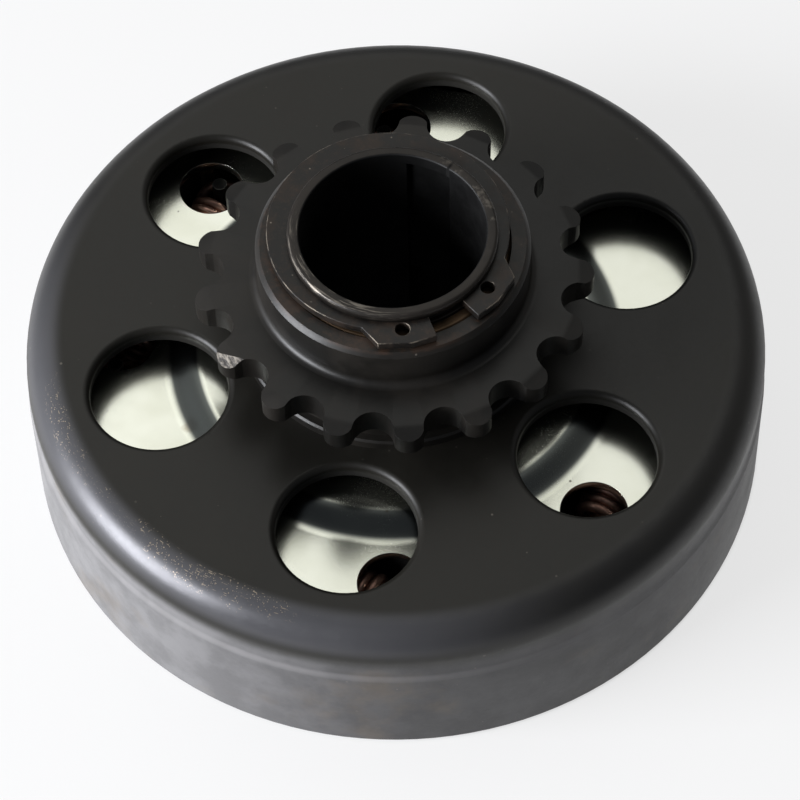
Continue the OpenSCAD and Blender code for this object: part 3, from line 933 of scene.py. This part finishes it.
@dataclass
class FrontPlate(Part):
    """The front plate: a raised middle that falls in a soft curve to a flat field with round windows."""

    inner_r: float = 16.5
    middle_r: float = 27.5
    under_foot_r: float = 30.0
    foot_r: float = 33.4
    sheet: float = 1.8
    field_drop: float = 1.3
    fall_steps: int = 16
    chamfer: float = 0.3
    window_at: float = 39.07
    window_r: float = 4.7
    first_window: float = 100.0
    windows: int = 8
    rivet_at: float = 22.0
    rivet_r: float = 2.0
    first_rivet: float = 32.5
    rivets: int = 4
    drill: float = 8.0
    drill_sides: int = 96

    def shape(self) -> bmesh.types.BMesh:
        """The turned plate with its holes cut."""
        low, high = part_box(self.node)
        top, under, edge = high[2] / MM, low[2] / MM, high[0] / MM
        field = top - self.field_drop
        c = self.chamfer
        fall = []
        for i in range(self.fall_steps + 1):
            share = i / self.fall_steps
            fall.append((self.foot_r + (self.middle_r - self.foot_r) * share,
                         field + self.field_drop * (1 - math.cos(math.pi * share)) / 2))
        blank = bmesh.new()
        Bench.lathe(blank, [
            (self.inner_r, top - self.sheet), (self.middle_r, top - self.sheet), (self.under_foot_r, under),
            (edge - c, under), (edge, under + c), (edge, field - c), (edge - c, field), *fall,
            (self.inner_r, top), (self.inner_r, top - self.sheet)])
        Bench.weld(blank)
        tools = bmesh.new()
        for count, first, at, radius in ((self.windows, self.first_window, self.window_at, self.window_r),
                                         (self.rivets, self.first_rivet, self.rivet_at, self.rivet_r)):
            for i in range(count):
                middle = polar(at, first + 360 * i / count, field) * MM
                bmesh.ops.create_cone(tools, cap_ends=True, segments=self.drill_sides, radius1=radius * MM,
                                      radius2=radius * MM, depth=self.drill * MM,
                                      matrix=Matrix.Translation(middle))
        made = Bench.cut(blank, tools)
        Bench.flatten(made, 0.05)
        return made


@dataclass
class ToothedWheel(Part):
    """The sprocket: a turned body with a flange and a collar, and teeth with hollow flanks, one chipped."""

    # The chain, and the teeth that fit it.
    count: int = 17
    chain_pitch: float = 9.525
    roller_d: float = 5.08
    seat_play: float = 0.3
    seat_sink: float = 0.04
    seat_steps: int = 12
    flank_steps: int = 6
    tooth_rise: float = 1.65
    tip_radius: float = 2.1
    tip_share: float = 0.75
    first_tooth: float = 10.0
    tooth_t: float = 4.3
    bevel_w: float = 2.4
    bevel: float = 0.7
    level_within: float = 1e-6
    # The turned body, from the collar down to the staked spigot.
    collar_h: float = 6.6
    collar_r: float = 18.75
    collar_chamfer: float = 0.65
    collar_fillet: float = 1.15
    fillet_steps: int = 9
    neck_r: float = 20.5
    flange_r: float = 21.8
    flange_t: float = 1.6
    drum_face: float = 26.0
    drum_sheet: float = 2.3
    spigot_r: float = 17.9
    stake_w: float = 0.9
    bush_r: float = 16.1
    small_edge: float = 0.3
    # The knocked corner.
    chipped: int = 10
    chip_w: float = 1.7
    chip_reach: float = 4.6
    chip_from_r: float = 22.0
    chip_slope: float = 40.0
    chip_twist: float = 25.0

    def __post_init__(self) -> None:
        """Works out the tooth form and the heights."""
        self.step = 360 / self.count
        pitch_r = self.chain_pitch / math.sin(math.pi / self.count) / 2
        self.tip_r = pitch_r + self.tooth_rise
        self.seat_r = self.roller_d / 2 + self.seat_play
        self.seat_at = pitch_r + self.seat_play - self.seat_sink
        self.flank_r = 2 * self.seat_at * math.sin(math.pi / self.count) - self.seat_r
        self.bevel_foot = self.tip_r - self.bevel_w
        low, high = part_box(self.node)
        self.foot_z, self.collar_z = low[2] / MM, high[2] / MM
        self.top_z = self.collar_z - self.collar_h
        self.under_z = self.top_z - self.tooth_t

    def seat(self, angle: float) -> Vector:
        """The middle of the roller seat at an angle."""
        return polar(self.seat_at, angle)

    def gap_and_tooth(self, angle: float) -> List[Vector]:
        """Outline of one roller seat and the tooth after it.

        Args:
            angle: Where the seat is.

        Returns:
            Points from the seat's near side to the tooth's far flank.
        """
        here, there = self.seat(angle), self.seat(angle + self.step)
        first = heading(here, self.seat(angle - self.step))
        sweep = -((first - heading(here, there)) % 360)
        gap = arc(here, self.seat_r, first, sweep, self.seat_steps)
        middle = angle + self.step / 2
        tip = polar(self.tip_r - self.tip_radius, middle)
        across = (tip - there).length
        near = (across ** 2 + self.flank_r ** 2 - self.tip_radius ** 2) / (2 * across)
        foot = heading(there, here)
        turn = half_turn(heading(there, tip) + math.degrees(math.acos(near / self.flank_r)) - foot)
        flank = arc(there, self.flank_r, foot, turn, self.flank_steps)[1:]
        lean = self.tip_share * half_turn(heading(tip, flank[-1]) - middle)
        crown = arc(tip, self.tip_radius, middle + lean, -2 * lean, self.flank_steps)
        mirror = polar(1.0, middle)
        back = [2 * p.dot(mirror) * mirror - p for p in reversed(flank)]
        return gap + flank + crown + back[:-1]

    def outline(self) -> List[Vector]:
        """The whole outline, with a point wherever it crosses the foot of the tips' bevel."""
        points: List[Vector] = []
        for i in range(self.count):
            points += self.gap_and_tooth(self.first_tooth + (i - 0.5) * self.step)
        foot = self.bevel_foot
        crossed: List[Vector] = []
        for point, after in zip(points, points[1:] + points[:1]):
            crossed.append(point)
            if (point.length - foot) * (after.length - foot) < 0:
                share = (foot - point.length) / (after.length - point.length)
                crossed.append((point + (after - point) * share).normalized() * foot)
        return crossed

    def disc_side(self, bm: bmesh.types.BMesh, line: List[Vector], top: bool) -> List[bmesh.types.BMVert]:
        """Adds one side of the toothed disc, with its tips bevelled.

        Args:
            bm: The bmesh that takes the faces.
            line: The disc's outline.
            top: Whether it is the upper side, which ends at the collar, or the lower one, at the neck.

        Returns:
            The vertices along the outline.
        """
        level, sign, inner_r = self.under_z, 1, self.neck_r
        if top:
            level, sign, inner_r = self.top_z, -1, self.collar_r + self.collar_fillet
        fall = [max(0.0, (p.length - self.bevel_foot) / self.bevel_w) * self.bevel for p in line]
        rim = [bm.verts.new((p + Vector((0, 0, level + sign * f))) * MM) for p, f in zip(line, fall)]
        flat = [i for i, f in enumerate(fall) if f < self.level_within]
        inner = {}
        for i in flat:
            inner[i] = bm.verts.new((line[i].normalized() * inner_r + Vector((0, 0, level))) * MM)
        for i, k in zip(flat, flat[1:] + flat[:1]):
            faces = [[inner[i], rim[i], rim[k], inner[k]]]
            between = (k - i) % len(line)
            if between > 1:
                faces.append([rim[j % len(line)] for j in range(i, i + between + 1)])
            for face in faces:
                bm.faces.new(face if top else face[::-1])
        return rim

    def teeth(self, bm: bmesh.types.BMesh) -> None:
        """Adds the toothed disc."""
        line = self.outline()
        upper = self.disc_side(bm, line, True)
        lower = self.disc_side(bm, line, False)
        for i in range(len(line)):
            k = (i + 1) % len(line)
            bm.faces.new((lower[i], lower[k], upper[k], upper[i]))

    def knock(self, bm: bmesh.types.BMesh) -> None:
        """Knocks the corner off one tooth and marks the fresh face."""
        mark = bm.loops.layers.float.new("chip")
        angle = self.first_tooth + self.chipped * self.step
        slope = math.radians(self.chip_slope)
        way = polar(math.sin(slope), self.chip_twist + angle, math.cos(slope))
        middle = polar(self.tip_r - self.chip_w, angle, self.top_z) * MM
        faces = [f for f in bm.faces if (f.calc_center_median() - middle).length < self.chip_reach * MM
                 and f.calc_center_median().xy.length > self.chip_from_r * MM]
        edges = {e for f in faces for e in f.edges}
        verts = {v for f in faces for v in f.verts}
        cut = bmesh.ops.bisect_plane(bm, geom=[*verts, *edges, *faces], dist=1e-8, clear_outer=True,
                                     plane_co=middle, plane_no=way)
        border = [e for e in cut["geom_cut"] if isinstance(e, bmesh.types.BMEdge)]
        for face in bmesh.ops.contextual_create(bm, geom=border)["faces"]:
            for loop in face.loops:
                loop[mark] = 1.0

    def turned(self, bm: bmesh.types.BMesh) -> None:
        """Adds the turned body."""
        c, under = self.small_edge, self.drum_face - self.drum_sheet
        flange_z = self.drum_face + self.flange_t
        Bench.lathe(bm, [
            (self.bush_r, self.foot_z), (self.spigot_r + self.stake_w - c, self.foot_z),
            (self.spigot_r + self.stake_w, self.foot_z + c), (self.spigot_r + self.stake_w, under),
            (self.spigot_r, under), (self.spigot_r, self.drum_face), (self.flange_r, self.drum_face),
            (self.flange_r, flange_z - c), (self.flange_r - c, flange_z), (self.neck_r, flange_z),
            (self.neck_r, self.under_z)])
        fillet = self.collar_fillet
        Bench.lathe(bm, [
            *bend((self.collar_r + fillet, self.top_z + fillet), fillet, 270, -90, self.fillet_steps),
            (self.collar_r, self.collar_z - self.collar_chamfer),
            (self.collar_r - self.collar_chamfer, self.collar_z), (self.bush_r, self.collar_z),
            (self.bush_r, self.foot_z)])

    def shape(self) -> bmesh.types.BMesh:
        """The whole sprocket, with its parts merged."""
        bm = bmesh.new()
        self.teeth(bm)
        self.knock(bm)
        self.turned(bm)
        Bench.weld(bm)
        return bm


@dataclass
class Springs:
    """The four coil springs between the shoes, each a true helix with two hooks."""

    count: int = 4
    first_turn: float = 77.5
    coil_radius: float = 2.95
    wire_radius: float = 0.74
    pitch: float = 1.52
    axis_radius: float = 36.1
    axis_height: float = 13.3
    post_reach: float = 17.5
    hook_radius: float = 3.15
    hook_sweep: float = 288.0
    hook_steps: int = 24
    coil_end: float = 13.6
    shift: Tuple[float, ...] = (0.0, -1.4, -0.4, 0.8)
    steps: int = 30
    sides: int = 5

    def centreline(self, shift: float) -> List[Vector]:
        """Points along one spring's wire, in its own frame with its axis along Y.

        Args:
            shift: How far the coil lies along its axis from the middle.

        Returns:
            The points, in millimetres.
        """
        start, length = shift - self.coil_end, 2 * self.coil_end
        count = round(length / self.pitch) * self.steps
        coil = []
        for i in range(count + 1):
            across = polar(self.coil_radius, 360 * i / self.steps)
            coil.append(Vector((across.x, start + length * i / count, across.y)))
        tail = arc(Vector((0, self.post_reach, 0)), self.hook_radius, 0, self.hook_sweep, self.hook_steps)
        head = [Vector((p.x, -p.y, 0)) for p in reversed(tail)]
        return head + coil + tail

    def build(self, shop: Paintshop) -> List[bpy.types.Object]:
        """Builds the springs.

        Args:
            shop: Where the finish comes from.

        Returns:
            The pieces.
        """
        pieces = []
        for number in range(1, self.count + 1):
            name = f"spring_{number}_wire"
            path = bpy.data.curves.new(name, "CURVE")
            path.dimensions = "3D"
            path.bevel_depth = self.wire_radius * MM
            path.bevel_resolution = self.sides
            path.use_fill_caps = True
            points = self.centreline(self.shift[number - 1])
            line = path.splines.new("POLY")
            line.points.add(len(points) - 1)
            turn = Matrix.Rotation(math.radians(self.first_turn + 360 / self.count * (number - 1)), 4, "Z")
            seat = Vector((self.axis_radius, 0, self.axis_height))
            for point, place in zip(line.points, points):
                point.co = (*((turn @ (place + seat)) * MM), 1)
            holder = put(name + "_path", path)
            bpy.context.view_layer.update()
            swept = holder.evaluated_get(bpy.context.evaluated_depsgraph_get())
            mesh = bpy.data.meshes.new_from_object(swept)
            mesh.name = name
            bpy.data.objects.remove(holder)
            mesh.shade_smooth()
            piece = put(name, mesh)
            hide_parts(f"spring_{number}")
            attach(piece, "hub")
            shop.dress(piece, Finish.COPPER)
            pieces.append(piece)
        return pieces


@dataclass(frozen=True)
class Camera:
    """The photograph's camera, fitted to the rim, holes, teeth and bore."""

    focal_px: float = 2929.86
    image_px: float = 800.0
    sensor: float = 36.0
    azimuth: float = 12.0
    elevation: float = 57.01
    roll: float = -1.473
    offset: Tuple[float, float, float] = (-0.345, -2.644, -433.98)

    def axes(self) -> Tuple[Vector, Vector, Vector]:
        """The camera's right, up and backward directions."""
        a, r = math.radians(self.azimuth), math.radians(self.roll)
        back = direction(self.azimuth, self.elevation)
        right = Vector((math.cos(a), math.sin(a), 0))
        up = back.cross(right)
        return (right * math.cos(r) + up * math.sin(r), up * math.cos(r) - right * math.sin(r), back)

    def build(self) -> None:
        """Adds the camera and makes it the scene's."""
        right, up, back = self.axes()
        x, y, z = self.offset
        place = -(right * x + up * y + back * z) * MM
        data = bpy.data.cameras.new("photo_camera")
        data.sensor_width = self.sensor
        data.lens = self.focal_px / self.image_px * self.sensor
        data.clip_start = 0.01
        data.clip_end = 20.0
        holder = put("photo_camera", data)
        turn = Matrix((right, up, back)).transposed().to_4x4()
        holder.matrix_world = Matrix.Translation(place) @ turn
        bpy.context.scene.camera = holder


@dataclass(frozen=True)
class Lamp:
    """A soft square lamp, placed by direction as seen from the camera."""

    name: str
    bearing: float
    elevation: float
    distance: float
    size: float
    power: float
    tint: Tuple[float, float, float] = (1.0, 1.0, 1.0)

    def build(self, azimuth: float) -> None:
        """Adds the lamp.

        Args:
            azimuth: The camera's azimuth, from which bearing is counted to the right.
        """
        way = direction(azimuth + self.bearing, self.elevation)
        data = bpy.data.lights.new(self.name, "AREA")
        data.shape = "SQUARE"
        data.size = self.size
        data.energy = self.power
        data.color = self.tint
        turn = way.to_track_quat("Z", "Y").to_matrix().to_4x4()
        put(self.name, data).matrix_world = Matrix.Translation(way * self.distance) @ turn


@dataclass(frozen=True)
class Glow:
    """A soft bright patch of the surroundings, placed by direction as seen from the camera."""

    bearing: float
    elevation: float
    reach: float
    edge: float
    light: Colour

    def add_to(self, g: Graph, azimuth: float, ray: bpy.types.NodeSocket, room: Any) -> bpy.types.NodeSocket:
        """Adds the patch to the room's light.

        Args:
            g: The world's graph.
            azimuth: The camera's azimuth, from which bearing is counted to the right.
            ray: The direction looked in.
            room: The light so far.

        Returns:
            The light with the patch in it.
        """
        dot = g.node("ShaderNodeVectorMath", {"operation": "DOT_PRODUCT"},
                     {0: ray, 1: direction(azimuth + self.bearing, self.elevation)})
        along = Val(g, dot.outputs["Value"])
        amount = g.rise(along, math.cos(math.radians(self.reach + self.edge)),
                        math.cos(math.radians(max(0.0, self.reach - self.edge))))
        return g.mix(amount, room, self.light, "ADD")


@dataclass(frozen=True)
class Studio:
    """White floor, soft surroundings that are brighter behind and to the left, and the lamp."""

    floor_half: float = 0.26
    floor_colour: Colour = (0.86, 0.86, 0.86, 1.0)
    floor_glow: float = 0.74
    covered_r: Span = (51.5, 53.5)
    dim: Colour = (0.085, 0.09, 0.1, 1.0)
    glows: Tuple[Glow, ...] = (
        Glow(178.0, 55.0, 24.0, 10.0, (0.76, 0.755, 0.715, 1.0)),
        Glow(-94.0, 18.0, 28.0, 15.0, (0.54, 0.56, 0.6, 1.0)),
        Glow(-136.0, 50.0, 18.0, 12.0, (0.36, 0.36, 0.35, 1.0)),
        Glow(120.0, 20.0, 30.0, 20.0, (0.17, 0.16, 0.14, 1.0)),
    )
    lamps: Tuple[Lamp, ...] = (
        Lamp("window_left", -70.0, 22.0, 0.9, 0.52, 14.0, (0.97, 0.985, 1.03)),
    )

    def floor(self) -> None:
        """Adds the floor, which shows white to the camera and keeps the shadow."""
        bm = bmesh.new()
        bmesh.ops.create_grid(bm, x_segments=1, y_segments=1, size=self.floor_half)
        piece = Bench.lay(bm, "floor")
        g = Graph.named("floor_white")
        ray = g.node("ShaderNodeLightPath")
        seen = Val(g, ray.outputs["Is Camera Ray"]) | Val(g, ray.outputs["Is Glossy Ray"]) \
            | Val(g, ray.outputs["Is Transmission Ray"])
        open_floor = g.rise(g.radius, *self.covered_r)
        cloth = g.node("ShaderNodeBsdfDiffuse", None, {"Color": self.floor_colour})
        glow = g.node("ShaderNodeEmission", None, {"Color": (1, 1, 1, 1), "Strength": 1.0})
        both = g.node("ShaderNodeMixShader", None, {0: seen * open_floor * self.floor_glow,
                                                    1: cloth.outputs[0], 2: glow.outputs[0]})
        g.node("ShaderNodeOutputMaterial", None, {0: both.outputs[0]})
        piece.data.materials.append(g.owner)

    def surroundings(self, azimuth: float) -> None:
        """Sets the world, which is white to the camera.

        Args:
            azimuth: The camera's azimuth.
        """
        world = bpy.data.worlds.new("surroundings")
        bpy.context.scene.world = world
        g = Graph(world)
        around = g.node("ShaderNodeTexCoord").outputs["Generated"]
        light: Any = self.dim
        for glow in self.glows:
            light = glow.add_to(g, azimuth, around, light)
        room = g.node("ShaderNodeBackground", None, {0: light})
        white = g.node("ShaderNodeBackground", None, {0: (1, 1, 1, 1)})
        ray = g.node("ShaderNodeLightPath")
        both = g.node("ShaderNodeMixShader", None, {0: ray.outputs["Is Camera Ray"], 1: room.outputs[0],
                                                    2: white.outputs[0]})
        g.node("ShaderNodeOutputWorld", None, {0: both.outputs[0]})

    def build(self, azimuth: float) -> None:
        """Adds everything.

        Args:
            azimuth: The camera's azimuth.
        """
        bpy.context.scene.view_settings.view_transform = "Standard"
        self.floor()
        self.surroundings(azimuth)
        for lamp in self.lamps:
            lamp.build(azimuth)


@dataclass
class Clutch:
    """The whole clutch, by sub-assembly."""

    drum: List[Part] = field(default_factory=lambda: [
        Part("drum_shell", "drum", Finish.DRUM, rounding=0.0),
        ToothedWheel("sprocket", "drum", Finish.SPROCKET, rounding=0.2),
        Part("bush", "drum", Finish.BRONZE, rounding=0.1)])
    hub: List[Part] = field(default_factory=lambda: [
        HubCore("hub", "hub", Finish.HUB, rounding=0.16),
        FrontPlate("front_plate", "hub", Finish.ZINC, rounding=0.35, steep=60.0, segments=3),
        Part("back_plate", "hub", Finish.ZINC, rounding=0.2),
        Part("rivets", "hub", Finish.RIVET, rounding=0.15),
        Part("thrust_washer", "hub", Finish.RIVET, rounding=0.12),
        Part("snap_ring", "hub", Finish.RING, rounding=0.12)])
    springs: Springs = field(default_factory=Springs)

    def shoes(self) -> List[Part]:
        """The four shoes and their linings."""
        made = []
        for number in range(1, self.springs.count + 1):
            made.append(Part(f"shoe_{number}", f"shoe_{number}", Finish.SHOE, rounding=0.3))
            made.append(Part(f"lining_{number}", f"shoe_{number}", Finish.LINING, rounding=0.2))
        return made

    def build(self, shop: Paintshop) -> None:
        """Builds every piece in order.

        Args:
            shop: Where the finishes come from.
        """
        pieces = [part.build(shop) for part in [*self.drum, *self.hub, *self.shoes()]]
        for piece in pieces + self.springs.build(shop):
            LOG.info("%s: %d faces", piece.name, len(piece.data.polygons))


def main() -> None:
    """Builds the camera, the studio and the clutch."""
    logging.basicConfig(level=logging.INFO, format="%(name)s: %(message)s")
    camera = Camera()
    camera.build()
    Studio().build(camera.azimuth)
    Clutch().build(Paintshop())


if __name__ == "__main__":
    main()
